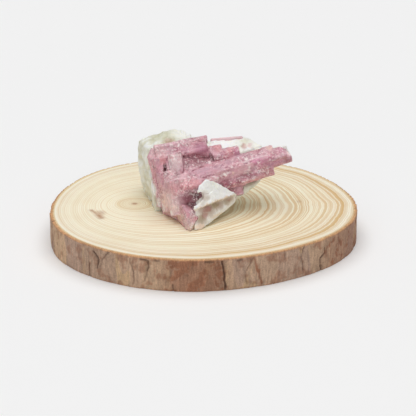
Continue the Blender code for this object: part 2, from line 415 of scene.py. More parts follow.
PATCHES = {
    "rose": (
        ((-0.9, -2.8, 29.8), (2.9, 2.2, 2), 1),
        ((-6, -2.8, 29.4), (3.6, 2.2, 1.2), 0.6),
        ((20, -4.8, 25.8), (5.5, 2.6, 1.5), 0.6),
    ),
    "mauve": (
        ((0, -9.4, 24.5), (3.4, 2.4, 1.1), 0.9),
        ((4.4, -8, 25.3), (3.2, 2.2, 0.9), 0.9),
        ((11.4, -2.6, 27.4), (2.4, 2.6, 1.4), 0.9),
        ((7.6, -6.5, 26.5), (2, 2, 1), 0.7),
        ((-12, -14, 19), (1.6, 4, 2), 0.5),
    ),
    "salmon": (
        ((-4.3, -15.4, 22), (3.6, 3, 1.6), 0.9),
        ((-8.7, -15.7, 21), (1.8, 3, 2), 0.5),
        ((4.5, -0.2, 29.1), (1.8, 2.4, 1.1), 0.8),
        ((8.3, -1.1, 28.4), (1.5, 2.4, 1.2), 0.7),
        ((-12.9, -6.5, 27.2), (1.1, 3, 1.6), 0.9),
        ((-14.5, -4, 29), (2.4, 3, 1.9), 0.55),
        ((-2.8, -22.4, 13.3), (1.3, 2.6, 1.2), 0.7),
    ),
    "bright": (
        ((17, -6.1, 26.4), (2.1, 2.2, 1.4), 0.85),
        ((10.5, -1.2, 28.4), (1.2, 2, 1), 0.6),
        ((20.2, -4.9, 27.3), (1.3, 2, 0.9), 0.5),
        ((24.1, -1.9, 29.3), (1.4, 2.6, 1.2), 0.5),
    ),
    # Crimson marks: dark red breaks, and partly painted shade under the upper and long crystals' lower edges
    # and in the front hollow
    "red": (
        ((-2.2, -2.8, 27.7), (2.4, 2.4, 0.55), 1),
        ((7.2, -10.2, 20.7), (1.9, 3, 1.4), 1),
        ((10.9, -9.4, 20.8), (0.9, 2.8, 1.3), 0.8),
        ((13.9, -7.9, 22.5), (3.4, 2.6, 0.9), 0.85),
        ((-5.8, -16.7, 17.3), (2.2, 3.5, 1.9), 1),
        ((-8.8, -11.3, 23.6), (1.6, 2.4, 0.7), 0.6),
        ((26.7, -3, 25.7), (0.9, 2.4, 0.9), 0.7),
        ((24, -4.2, 24.3), (2.4, 2.4, 0.5), 0.7),
        ((18.7, -5.8, 20.6), (1, 2.4, 1.2), 0.5),
    ),
    "brown": (
        ((19.3, -6.1, 23.7), (1.8, 2.6, 1.4), 0.8),
        ((25.8, -2.9, 26.8), (1.2, 2.4, 1), 0.6),
    ),
    # Dark marks: painted shade in the front hollow and in the recesses under the upper crystals, over their
    # own purple-brown
    "dark": (
        ((-2.2, -16.2, 19), (3.2, 4, 2.3), 1),
        ((-3.7, -16.5, 15.9), (2.4, 2.6, 1.2), 0.9),
        ((-3.2, -5.6, 25.9), (3.4, 2.8, 1.3), 0.55),
        ((-5.2, -6.6, 25.8), (0.9, 2.4, 1.3), 0.8),
        ((0.4, -3.6, 25.9), (1.6, 2, 0.8), 0.5),
        ((2.5, -1.3, 26.1), (1.9, 2, 1.4), 0.7),
        ((0, -2.6, 27), (1.1, 2, 0.7), 0.6),
        ((-12.1, -6.9, 24.4), (0.8, 3.2, 1.8), 1),
        ((-15.8, -5.7, 24.7), (0.4, 2, 0.6), 0.6),
        ((-7.8, -7.9, 30.1), (0.7, 1.6, 0.4), 0.5),
    ),
    "peach": (
        ((-10.8, -13, 16), (4.4, 5, 5.4), 0.4),
        ((-11.9, -12.9, 16.1), (1.5, 4, 3.4), 0.7),
        ((-9, -17.8, 15.2), (1.5, 3, 1.5), 0.6),
        ((-6.5, -20, 13.1), (1.2, 3, 1.3), 0.6),
        ((-2.8, -23.4, 10.9), (2.6, 3, 1.2), 1),
        ((-7.8, -17.6, 11.6), (2.4, 2.8, 0.9), 0.8),
        ((9, -9.1, 24), (0.5, 1.4, 0.5), 0.6),
        ((20.8, 0.2, 29), (1.2, 2.6, 0.6), 0.6),
    ),
    "quartz": (
        ((-15.6, -5.2, 16.8), (1, 3.4, 2.4), 1),
        ((-14.2, -8.3, 14.1), (0.7, 3, 2.2), 0.9),
        ((-12.8, -11.4, 13), (0.5, 3, 1.6), 0.7),
        ((27.2, -0.5, 28.2), (1, 2.4, 1.2), 0.8),
        ((-3, -20.6, 14.6), (1, 1.6, 1), 0.5),
    ),
    # Pale marks: the broad ones are paler stone; the small strong spots are painted glints
    "pale": (
        ((7.3, 8.7, 29.2), (7, 3, 1.6), 0.45),
        ((-9.5, -15.5, 15), (3.6, 5, 4.6), 0.35),
        ((-4.2, -23, 12), (3, 3, 2), 0.3),
        ((13.3, -5.2, 27.1), (0.5, 1, 0.5), 1),
        ((6.6, -9.7, 23.6), (0.7, 1.2, 0.6), 1),
        ((-1.2, -5.5, 24.5), (0.5, 1.2, 0.5), 1),
        ((1.8, -4.1, 25.3), (0.45, 1.2, 0.45), 0.9),
        ((-9.3, -9, 28.4), (0.5, 1.2, 0.5), 1),
        ((-8.9, -9.6, 26.8), (2.2, 2.6, 3), 0.45),
        ((-13.5, -3.4, 28.6), (4, 3, 2.6), 0.3),
        ((-8.5, -12.5, 22.8), (3.4, 3.6, 1.8), 0.25),
        ((-10.6, -2.6, 30.9), (0.45, 1.2, 0.45), 0.8),
        ((-8.1, -2.4, 31), (0.5, 1.2, 0.5), 0.9),
        ((-6.7, -2.2, 31.1), (0.4, 1.2, 0.4), 0.7),
        ((-2.7, -1.2, 32.2), (0.4, 1, 0.4), 0.5),
        ((17.3, -6.1, 26.2), (0.35, 1, 0.35), 0.7),
        ((-9.8, -8.4, 29.5), (0.6, 1.4, 0.5), 0.7),
        ((-8.2, -8.3, 29.4), (0.45, 1.4, 0.45), 0.6),
        ((-10.1, -17, 13.5), (0.7, 2, 0.7), 1),
    ),
}

# Pale lines along the crystals: painted highlights on ridges, and paler streaks of the stone
PALE_AND_HIGHLIGHT_LINES = (
    ((-11.2, -7.6, 29), (-10.7, -8.6, 26.4), 0.3, 0.8),
    ((-10.7, -8.6, 26.4), (-10, -10.4, 24.4), 0.34, 1),
    ((-7.2, -8.6, 28.8), (-6.9, -9.8, 25.4), 0.28, 0.9),
    ((-8.8, -8.8, 28.2), (-8.1, -10.2, 25.2), 0.28, 0.8),
    ((-10.6, -8.2, 29), (-7.4, -8.2, 29.6), 0.3, 0.7),
    ((-9.8, -9.4, 26.2), (-9.5, -10, 24.8), 0.24, 0.6),
    ((-6, -9.6, 24.8), (-3.1, -8, 24.8), 0.3, 0.7),
    ((-3.1, -8, 24.8), (-1.2, -5.5, 24.5), 0.3, 0.7),
    ((1, -10.6, 23.8), (4, -8.6, 24.7), 0.3, 0.5),
    ((9, -7.1, 25.8), (12.5, -6.6, 26.3), 0.3, 0.75),
    ((12.5, -6.6, 26.3), (14.5, -5.7, 26.9), 0.3, 0.85),
    ((14.5, -5.7, 26.9), (18.6, -4.7, 27.7), 0.32, 0.85),
    ((18.6, -4.7, 27.7), (20.6, -4.1, 28.1), 0.3, 0.6),
    ((9, -5.4, 27), (9, -7.7, 25.7), 0.24, 0.7),
    ((14.1, -6.8, 26.2), (14.3, -7.6, 24.7), 0.26, 0.9),
)


# Shared material work


def feed(tree, node, inputs):
    """Sets the inputs of a shader node, each to a value or by a link from a socket."""
    for name, value in inputs.items():
        if isinstance(value, bpy.types.NodeSocket):
            tree.links.new(value, node.inputs[name])
        else:
            node.inputs[name].default_value = value


def add(tree, kind, inputs, **settings):
    made = tree.nodes.new(kind)
    for name, value in settings.items():
        setattr(made, name, value)
    feed(tree, made, inputs)
    return made


def new_material(name):
    material = bpy.data.materials.new(name)
    material.use_nodes = True
    return material, material.node_tree, material.node_tree.nodes["Principled BSDF"]


def math_node(tree, operation, first, second=0, clamp=False):
    made = add(tree, "ShaderNodeMath", {0: first, 1: second}, operation=operation, use_clamp=clamp)
    return made.outputs[0]


def times(tree, first, second, clamp=False):
    return math_node(tree, "MULTIPLY", first, second, clamp)


def plus(tree, first, second, clamp=False):
    return math_node(tree, "ADD", first, second, clamp)


def minus(tree, first, second):
    return math_node(tree, "SUBTRACT", first, second)


def vector_math(tree, operation, inputs, output=0):
    return add(tree, "ShaderNodeVectorMath", inputs, operation=operation).outputs[output]


def blend_colours(tree, share, first, second, kind="MIX"):
    """Mixes two colours, each a socket or linear red, green and blue."""
    def ready(colour):
        return colour if isinstance(colour, bpy.types.NodeSocket) else (*colour, 1)
    made = add(tree, "ShaderNodeMix", {0: share, 6: ready(first), 7: ready(second)}, data_type="RGBA",
               blend_type=kind)
    return made.outputs[2]


def between(tree, value, low, high):
    """How far a value is from low to high, from 0 to 1, smoothly."""
    made = add(tree, "ShaderNodeMapRange", {0: value, 1: low, 2: high, 3: 0, 4: 1},
               interpolation_type="SMOOTHSTEP", clamp=True)
    return made.outputs[0]


def window(tree, value, rise, fall):
    """1 where a value is between two soft edges, and 0 outside them."""
    return times(tree, between(tree, value, *rise), minus(tree, 1, between(tree, value, *fall)))


def rescaled(tree, value, low, high, new_low, new_high):
    """A value from one range taken to another, and held to it."""
    return add(tree, "ShaderNodeMapRange", {0: value, 1: low, 2: high, 3: new_low, 4: new_high}).outputs[0]


def attribute(tree, name):
    return add(tree, "ShaderNodeAttribute", {}, attribute_name=name).outputs["Fac"]


def place_in_mm(tree, turn=None, scale=(1, 1, 1)):
    """Object coordinates in millimetres, turned with a crystal if asked, and stretched."""
    coordinates = add(tree, "ShaderNodeTexCoord", {}).outputs["Object"]
    sized = vector_math(tree, "SCALE", {0: coordinates, 3: 1 / MM})
    if turn is not None:
        sized = add(tree, "ShaderNodeMapping", {0: sized, 2: turn}, vector_type="POINT").outputs[0]
    return vector_math(tree, "MULTIPLY", {0: sized, 1: scale})


def speckle(tree, vector, scale, detail=3, roughness=0.6):
    made = add(tree, "ShaderNodeTexNoise", {"Vector": vector, "Scale": scale, "Detail": detail,
                                            "Roughness": roughness})
    return made.outputs["Fac"]


def grains(tree, vector, scale):
    """The grains of a stone: a random number for each, and a height that gives each its own slant."""
    sized = vector_math(tree, "SCALE", {0: vector, 3: scale})
    cells = add(tree, "ShaderNodeTexVoronoi", {"Vector": sized, "Scale": 1})
    from_middle = vector_math(tree, "SUBTRACT", {0: sized, 1: cells.outputs["Position"]})
    slant = vector_math(tree, "SUBTRACT", {0: cells.outputs["Color"], 1: (0.5, 0.5, 0.5)})
    height = vector_math(tree, "DOT_PRODUCT", {0: from_middle, 1: slant}, "Value")
    number = add(tree, "ShaderNodeSeparateXYZ", {0: cells.outputs["Color"]}).outputs[0]
    return number, height


def shaded(tree, colour, factor):
    """A colour made lighter or darker by a factor."""
    return vector_math(tree, "SCALE", {0: colour, 3: factor})


def distance_to(tree, vector, place):
    return vector_math(tree, "DISTANCE", {0: vector, 1: place}, "Value")


def bump(tree, height, strength, distance_mm):
    inputs = {"Height": height, "Strength": strength, "Distance": distance_mm * MM}
    return add(tree, "ShaderNodeBump", inputs).outputs[0]


# Wood


def slice_outline():
    """The slice's outer radius by direction from its middle, measured on the bark's node from outside."""
    bm = node_copy("bark")
    bark = BVHTree.FromBMesh(bm)
    bm.free()
    far = 100
    angles = steps_between(-math.pi, math.pi, 360)
    radii = []
    for angle in angles:
        way = Vector((math.cos(angle), math.sin(angle), 0))
        radii.append(far - bark.ray_cast(way * far + Vector((0, 0, WOOD_TOP / 2)), -way)[3])
    return angles, radii


def reach_from(outline, pith, angle, inset):
    """Distance from the pith to the outline, moved in by an inset, in a direction."""
    direction = Vector((math.cos(angle), math.sin(angle)))
    near, far = 0, 120
    for _ in range(24):
        middle = (near + far) / 2
        point = pith + direction * middle
        inside = point.length < np.interp(math.atan2(point.y, point.x), *outline) - inset
        near, far = (middle, far) if inside else (near, middle)
    return near


def turned(profile, steps):
    """A closed solid or ring: a profile of (distance, height) spun once round Z."""
    bm = bmesh.new()
    verts = [bm.verts.new((distance, 0, height)) for distance, height in profile]
    edges = [bm.edges.new(pair) for pair in zip(verts, verts[1:])]
    if profile[0][0] > 0:
        edges.append(bm.edges.new((verts[-1], verts[0])))
    bmesh.ops.spin(bm, geom=verts + edges, cent=(0, 0, 0), axis=(0, 0, 1), angle=math.tau, steps=steps,
                   use_merge=True, use_normal_flip=False)
    bmesh.ops.remove_doubles(bm, verts=bm.verts, dist=0.0001)
    bmesh.ops.recalc_face_normals(bm, faces=bm.faces)
    return bm


def wood_material(settings):
    material, tree, shader = new_material("pine_wood")
    spot = place_in_mm(tree)
    waver = times(tree, minus(tree, speckle(tree, spot, 0.09, 2), 0.5), 0.025)
    tremble = times(tree, minus(tree, speckle(tree, spot, 0.5, 2), 0.5), 0.006)
    shifted = plus(tree, plus(tree, attribute(tree, "ring"), waver), tremble)
    counted = times(tree, shifted, settings.rings)
    # Rings differ in width and strength, so each is pushed about by a slow wave along the radius
    years = add(tree, "ShaderNodeTexNoise", {"W": times(tree, counted, 0.45), "Detail": 1},
                noise_dimensions="1D").outputs["Fac"]
    counted = plus(tree, counted, times(tree, years, 1.8))
    share = math_node(tree, "FRACT", counted)
    year = math_node(tree, "FLOOR", counted)
    strength = add(tree, "ShaderNodeTexWhiteNoise", {"W": year}, noise_dimensions="1D").outputs["Value"]
    strength = rescaled(tree, strength, 0, 1, 0.5, 1)
    late = add(tree, "ShaderNodeValToRGB", {0: share})
    late.color_ramp.elements[0].color = late.color_ramp.elements[1].color = (0.8, 0.8, 0.8, 1)
    for position, value in ((0.12, 0.12), (0.24, 0), (0.42, 0.1), (0.62, 0.7), (0.86, 1)):
        late.color_ramp.elements.new(position).color = (value, value, value, 1)
    # The rings are strong on the wide side and faint on the narrow side
    across = add(tree, "ShaderNodeSeparateXYZ", {0: spot}).outputs[0]
    side = rescaled(tree, across, -42, 4, 0.5, 1)
    line = times(tree, times(tree, late.outputs[0], strength), side, clamp=True)
    fibre = speckle(tree, spot, 3, 4, 0.7)
    young = times(tree, between(tree, shifted, 0.8, 0.95), 0.5)
    colour = blend_colours(tree, young, settings.early, settings.outer)
    colour = blend_colours(tree, times(tree, line, 0.8), colour, settings.late)
    # Two broad tan bands stand out near the rim of the wide side
    for start, end, amount in ((0.92, 0.96, 0.2), (0.86, 0.89, 0.1)):
        band = window(tree, shifted, (start - 0.012, start + 0.004), (end - 0.004, end + 0.012))
        band = times(tree, times(tree, band, side), amount)
        colour = blend_colours(tree, band, colour, settings.late)
    patch = between(tree, speckle(tree, spot, 0.05, 2), 0.4, 0.7)
    colour = blend_colours(tree, times(tree, patch, 0.1), colour, settings.late)
    colour = shaded(tree, colour, rescaled(tree, fibre, 0.3, 0.7, 0.965, 1.015))
    pith = (settings.pith_x / MM, settings.pith_y / MM, WOOD_TOP)
    from_pith = distance_to(tree, spot, pith)
    core = minus(tree, 1, between(tree, from_pith, 0.3, 1.5))
    halo = minus(tree, 1, between(tree, from_pith, 4.6, 5.4))
    hoop = window(tree, from_pith, (4.6, 5.3), (5.3, 6))
    for mark, amount, tint in ((halo, 0.12, settings.late), (hoop, 0.3, settings.late),
                               (core, 0.75, settings.heart)):
        colour = blend_colours(tree, times(tree, mark, amount), colour, tint)
    uneven = rescaled(tree, speckle(tree, spot, 0.9, 3), 0.3, 0.65, 0.65, 1)
    colour = blend_colours(tree, times(tree, attribute(tree, "knot"), uneven), colour, settings.heart)
    height = plus(tree, times(tree, line, 0.6), times(tree, fibre, 0.6))
    feed(tree, shader, {
        "Base Color": colour,
        "Roughness": rescaled(tree, line, 0, 1, 0.62, 0.5),
        "Normal": bump(tree, height, 0.3, 0.05),
        "Subsurface Weight": 0.05,
        "Subsurface Radius": (0.001, 0.0006, 0.0003),
    })
    return material


class TOURMALINE_OT_wood(Operator):
    """Builds the sawn wood of the slice"""

    bl_idname = "tourmaline.wood"
    bl_label = "Wood"

    # Vertices round the slice, and rows on its top, its side and its underside
    around = 384
    ring_steps = 150
    side_steps = 8
    under_steps = 30
    # Directions in which the distance from the pith to the bark is tried for the shortest
    tries = 24

    # A small dark wedge at the left, a lighter stain beside it, and a fleck at the right
    scars = (
        ((-36, -5.6, 10), (-33.6, -9.4, 10), 0.7, 0.8),
        ((-33.6, -9.4, 10), (-32.4, -12.6, 10), 1.1, 0.9),
    )
    stains = (
        ((-33.2, -8.4, 10), (2, 2.6, 3), 0.55),
        ((30.8, 2.6, 10), (0.9, 1.2, 3), 0.35),
    )

    def execute(self, context):
        settings = context.scene.tourmaline_slice
        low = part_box("wood_slice")[0].z / MM
        outline = slice_outline()
        inset = outline_inset("wood_slice") - 0.9 * SEAM
        pith = Vector((settings.pith_x, settings.pith_y)) / MM
        profile = [(share, WOOD_TOP) for share in steps_between(0, 1, self.ring_steps)]
        profile += [(1, height) for height in steps_between(WOOD_TOP, low, self.side_steps)[1:]]
        profile += [(share, low) for share in steps_between(1, 0, self.under_steps)[1:]]
        bm = turned(profile, self.around)
        narrow = min(reach_from(outline, pith, math.tau * step / self.tries, inset)
                     for step in range(self.tries))
        reaches = {}
        rings = []
        for vert in bm.verts:
            share = math.hypot(vert.co.x, vert.co.y)
            angle = math.atan2(vert.co.y, vert.co.x)
            key = round(angle, 4)
            if key not in reaches:
                reaches[key] = reach_from(outline, pith, angle, inset)
            # Near the pith the rings are round; further out they follow the bark
            follow = min(1, share * 1.3)
            follow = follow * follow * (3 - 2 * follow)
            distance = share * (narrow * (1 - follow) + reaches[key] * follow)
            vert.co.x = pith.x + math.cos(angle) * distance
            vert.co.y = pith.y + math.sin(angle) * distance
            rings.append(share + self.wobble(vert.co))
        points = places(bm)
        piece = new_piece("sawn_wood", bm, wood_material(settings), ["wood_slice"])
        write_attribute(piece.data, "ring", rings)
        knot = np.maximum(drawn(points, self.scars), spread(points, self.stains))
        write_attribute(piece.data, "knot", knot)
        piece.data.set_sharp_from_angle(angle=math.radians(40))
        return {"FINISHED"}

    @staticmethod
    def wobble(point):
        """The rings bulge beside an old side shoot near the wide side's rim, and twist a little."""
        bulge = math.exp(-((point.y - 0.8) / 4.5) ** 2) * min(1, max(0, (point.x - 30) / 12))
        notch = math.exp(-((point.y + 0.6) / 1.6) ** 2 - ((point.x - 35) / 2.4) ** 2)
        slow = noise.noise(Vector((point.x, point.y, 0)) / 14)
        return 0.006 * slow - 0.011 * bulge + 0.008 * notch


def outline_inset(name):
    """How far a node's box lies inside the whole slice's box."""
    return (CAD_BOX[1].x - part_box(name)[1].x) / MM


# Bark


def bark_material(settings):
    material, tree, shader = new_material("pine_bark")
    spot = place_in_mm(tree)
    upright = place_in_mm(tree, scale=(1, 1, 0.2))
    blotch = speckle(tree, spot, 0.3, 4, 0.65)
    grain = speckle(tree, upright, 1.3, 5, 0.75)
    fine = speckle(tree, spot, 2.4, 4, 0.75)
    colour = blend_colours(tree, attribute(tree, "tone"), settings.grey, settings.tan)
    blotches = times(tree, between(tree, blotch, 0.5, 0.62), 0.6)
    reddish = plus(tree, blotches, attribute(tree, "red"), clamp=True)
    colour = blend_colours(tree, reddish, colour, settings.red)
    # The lip mark is painted highlight beside the cracks, in the tan plates' colour
    for mark, tint in (("lip_highlight", settings.tan), ("edge", settings.edge),
                       ("rim", settings.rim), ("sap", settings.sap)):
        colour = blend_colours(tree, attribute(tree, mark), colour, tint)
    # Painted shade: the relief's height darkens the low parts of the plates; the two grains vary the tone at
    # random
    for value, low, high, dark, light in ((attribute(tree, "height"), -0.6, 0.6, 0.88, 1.1),
                                          (grain, 0.3, 0.7, 0.64, 1.3), (fine, 0.3, 0.7, 0.74, 1.24)):
        factor = rescaled(tree, value, low, high, dark, light)
        # The pale inner ring is cut across and stays clean
        calmed = blend_colours(tree, attribute(tree, "sap"), factor, (1, 1, 1))
        colour = blend_colours(tree, 1, colour, calmed, "MULTIPLY")
    colour = blend_colours(tree, attribute(tree, "crack"), colour, settings.crack)
    feed(tree, shader, {
        "Base Color": colour,
        "Roughness": 0.85,
        "Normal": bump(tree, plus(tree, grain, fine), 0.5, 0.2),
    })
    return material


class TOURMALINE_OT_bark(Operator):
    """Builds the ring of bark with its plates and cracks"""

    bl_idname = "tourmaline.bark"
    bl_label = "Bark"

    # Vertices round the ring, and rows up its side and across its top
    around = 1320
    side_steps = 36
    top_steps = 5
    # The radius, in mm, at which the side is laid out flat
    radius = 49

    # Cracks along the front, as points of (degrees round from the right, mm up), and their depth
    front_cracks = (
        (((-162, 10), (-160.4, 5.9), (-158.5, 1)), 1),
        (((-155.1, 8.5), (-154.9, 4.6)), 0.7),
        (((-133.7, 4), (-133.7, 0.2)), 0.8),
        (((-131.6, 8.4), (-129.4, 6.6), (-130, 3.5)), 0.9),
        (((-125, 9.4), (-126.2, 8.6), (-127.6, 6.6), (-128.6, 4.2)), 0.5),
        (((-116.3, 8.9), (-115.3, 5.2), (-115.3, 1)), 0.6),
        (((-112.6, 9.3), (-109.7, 9), (-109.7, 6.8), (-110, 5.8)), 0.8),
        (((-110, 5.8), (-111.4, 2.2)), 0.4),
        (((-101, 2), (-100.8, 0.2)), 0.7),
        (((-83.6, 9.1), (-83.2, 6.6), (-82.5, 4), (-82.6, 0.4)), 1),
        (((-71.9, 9.3), (-73.2, 7.6), (-74.8, 5.2), (-74.3, 1.3)), 0.45),
        (((-50, 9.5), (-51.3, 6.8), (-50.2, 2)), 0.55),
        (((-39.6, 6.9), (-39.6, 5.2), (-41.8, 4.1), (-41.6, 1)), 0.8),
    )
    front_notches = (
        (((-107.4, 9.3), (-106, 9.3)), 0.7),
        (((-89.4, 9.3), (-86.6, 9.2)), 0.8),
        (((-78, 9.1), (-76, 9.3)), 0.7),
        (((-41.6, 1.6), (-41.4, 0.4)), 1),
    )
    red_lines = (
        (((-71.7, 9.3), (-70.5, 6.6), (-68.4, 0.9)), 0.9),
        (((-36.4, 8.4), (-36.1, 2.4)), 0.7),
        (((-84.6, 6), (-84.4, 3)), 0.6),
    )
    # Pale lines beside the cracks: painted highlights on the plates' lips
    lip_highlight_lines = (
        (((-136.7, 8.4), (-136.4, 1)), 0.8),
        (((-102.6, 6.4), (-102.6, 1.6)), 0.5),
        (((-82, 8.1), (-81.4, 1.6)), 0.8),
        (((-72, 6.4), (-73.6, 3.4)), 0.6),
    )
    # How far each kind of line reaches to its sides, in mm
    crack_width = 0.27
    notch_width = 0.32
    lip_highlight_width = 0.45
    red_width = 0.35
    # Cracks on the sides that the photograph doesn't show
    others = 26

    def execute(self, context):
        settings = context.scene.tourmaline_bark
        low, high = (corner.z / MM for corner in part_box("bark"))
        outline = slice_outline()
        inner = outline_inset("wood_slice") - SEAM
        profile = [(inner, low)] + [(0, height) for height in steps_between(low, high, self.side_steps)]
        profile += [(inset, high) for inset in steps_between(0, inner, self.top_steps)[1:]]
        bm = turned([(self.radius - inset, height) for inset, height in profile], self.around)
        flat = places(bm)
        angles, levels = np.arctan2(flat[:, 1], flat[:, 0]), flat[:, 2]
        arcs = angles * self.radius
        depths = (self.radius - np.hypot(flat[:, 0], flat[:, 1])) / inner
        strays = [0.5 * noise.noise(Vector((arc / 2.5, level / 2.2, 0)))
                  + 0.15 * noise.noise(Vector((arc, level, 5))) for arc, level in zip(arcs, levels)]
        unrolled = np.stack([arcs + strays, levels, np.zeros(len(arcs))], axis=1)
        cracks = (*self.front_cracks, *self.seeded_cracks(high))
        crack = self.lines_on(unrolled, cracks, self.crack_width)
        notch = self.lines_on(unrolled, self.front_notches, self.notch_width)
        plates = np.array([self.plate(angle, level, settings) for angle, level in zip(angles, levels)])
        relief = 0.5 * plates[:, 0] - crack - 0.4 * notch
        outside = 1 - depths
        patchy = np.array([noise.noise(Vector((arc / 1.1, 7, 0))) for arc in arcs])
        # Small chips are missing along the top edge
        relief -= 1.4 * np.clip(patchy, 0, 1) * np.clip(1 - (high - levels) / 1.3, 0, 1)
        reach = np.interp(angles, *outline) - depths * inner + relief * settings.relief / MM * outside
        on_top = levels > high - 0.01
        for vert, angle, distance, sunk in zip(bm.verts, angles, reach, 0.1 * outside * on_top):
            vert.co = (math.cos(angle) * distance, math.sin(angle) * distance, vert.co.z - sunk)
        line = np.clip(1.1 - (high - levels) / 0.5, 0, 1) * np.clip(0.75 + patchy, 0, 1)
        foot = 0.6 * np.clip(1 - levels / 0.4, 0, 1) * np.clip(0.7 + patchy, 0, 1)
        turned_right = 0.5 + 0.5 * np.cos(angles + 0.5)
        turned_back = np.clip(np.sin(angles) * 2.2, 0, 1)
        sap = np.clip((depths - 0.62 + 0.5 * turned_back) / 0.2, 0, 1) * (0.9 - 0.3 * turned_right)
        # Painted highlights beside the cracks
        pale = self.lines_on(unrolled, self.lip_highlight_lines, self.lip_highlight_width)
        red = self.lines_on(unrolled, self.red_lines, self.red_width)
        marks = {
            "height": plates[:, 0],
            "tone": np.clip(0.45 + 0.6 * plates[:, 1], 0, 1),
            "crack": np.clip(np.maximum(0.95 * crack, 0.85 * notch) * outside, 0, 1),
            "lip_highlight": 0.7 * pale * (1 - crack) * outside,
            "edge": np.where(on_top, 1 - 0.5 * turned_back, np.maximum(line, foot)),
            "rim": np.where(on_top, 0.35 + 0.65 * depths * (0.5 + 0.5 * turned_right),
                            0.35 * line * turned_right),
            "sap": np.where(on_top, sap, 0),
            "red": np.maximum(self.red_stretches(angles), red),
        }
        piece = new_piece("bark_ring", bm, bark_material(settings), ["bark"])
        for name, values in marks.items():
            write_attribute(piece.data, name, values)
        return {"FINISHED"}

    def lines_on(self, unrolled, lines, width):
        """How strongly lines round the side mark each point of the side, both laid out flat in mm."""
        runs = []
        for points, strength in lines:
            flat = [(math.radians(degrees) * self.radius, level, 0) for degrees, level in points]
            runs += [(start, end, width * (0.6 + 0.6 * strength), strength)
                     for start, end in zip(flat, flat[1:])]
        return drawn(unrolled, runs)

    def seeded_cracks(self, high):
        """Cracks for the sides that the photograph doesn't show."""
        chance = random.Random(4)
        made = []
        for _ in range(self.others):
            points = [(chance.uniform(-14, 188), chance.uniform(high * 0.6, high))]
            while points[-1][1] > 1 and len(points) < 5:
                degrees, level = points[-1]
                points.append((degrees + chance.uniform(-0.9, 0.9), level - chance.uniform(1.5, 4)))
            made.append((points, chance.uniform(0.25, 0.75)))
        return made

    def plate(self, angle, level, settings):
        """Height of the broad flaky plates, which step up and down, and a number for each plate."""
        around = Vector((math.cos(angle), math.sin(angle), 0)) * self.radius
        bent = around + Vector((0, 0, level * 0.35))
        bend = noise.noise_vector(bent / 3.1)
        centre = noise.voronoi((bent + bend * 1.8) / (settings.plate / MM))[1][0]
        step = noise.cell(centre * 31.7)
        slow = noise.noise(around / 6 + Vector((0, 0, level / 9)))
        upright = noise.noise(around / 0.7 + Vector((0, 0, level / 4)))
        crumbs = noise.noise((around + Vector((0, 0, level))) / 0.6)
        return 0.45 * step + 0.5 * slow + 0.3 * upright + 0.2 * crumbs, noise.cell(centre * 57.1)

    @staticmethod
    def red_stretches(angles):
        """The redder stretches in the middle of the front and at its right."""
        return sum(amount * np.exp(-((np.degrees(angles) - middle) / reach) ** 4)
                   for middle, reach, amount in ((-93, 11, 0.75), (-24, 17, 0.5)))


# Quartz and the white block


def quartz_material(name, bright, shade, settings):
    material, tree, shader = new_material(name)
    spot = place_in_mm(tree)
    height = attribute(tree, "height")
    cloud = speckle(tree, spot, 0.16, 4)
    fine = speckle(tree, spot, 1.3, 4, 0.65)
    number, slant = grains(tree, spot, 1.5)
    # Painted shade: the low parts of the relief take the shade colour, mixed with a slow cloud
    mixed = plus(tree, times(tree, height, 0.25), minus(tree, cloud, 0.5))
    colour = blend_colours(tree, between(tree, mixed, -0.22, 0.18), shade, bright)
    colour = shaded(tree, colour, rescaled(tree, fine, 0.3, 0.7, 0.95, 1.03))
    colour = shaded(tree, colour, rescaled(tree, number, 0, 1, 0.97, 1.02))
    # The foot and wall marks paint shade onto the white block's lower face and onto its side by the hollow
    for mark, tint, kind in (("foot", settings.foot, "MIX"), ("wall_shade", settings.wall_shade, "MIX"),
                             ("green", settings.quartz_green_and_shade, "MULTIPLY"),
                             ("white", settings.white, "MIX"), ("stain", settings.salmon, "MULTIPLY"),
                             ("cream", settings.peach, "MIX"), ("ridge", settings.peach, "MIX")):
        colour = blend_colours(tree, attribute(tree, mark), colour, tint, kind)
    feed(tree, shader, {
        "Base Color": colour,
        "Roughness": rescaled(tree, fine, 0.3, 0.7, 0.3, 0.55),
        "Normal": bump(tree, slant, 0.35, 0.3),
        "IOR": 1.54,
        "Subsurface Weight": 0.6,
        "Subsurface Radius": (0.0026, 0.0025, 0.0021),
    })
    return material


def mark_piece(piece, points, patches, ridge=(), below=1):
    """Marks the patches, each kept to below the ridge but for the painted shade beside the hollow and the
    white ones.
    """
    for mark in ("foot", "green", "stain", "cream", "wall_shade", "white"):
        kept = 1 if mark in ("wall_shade", "white") else below
        write_attribute(piece.data, mark, spread(points, patches.get(mark, ())) * kept)
    write_attribute(piece.data, "ridge", drawn(points, ridge))


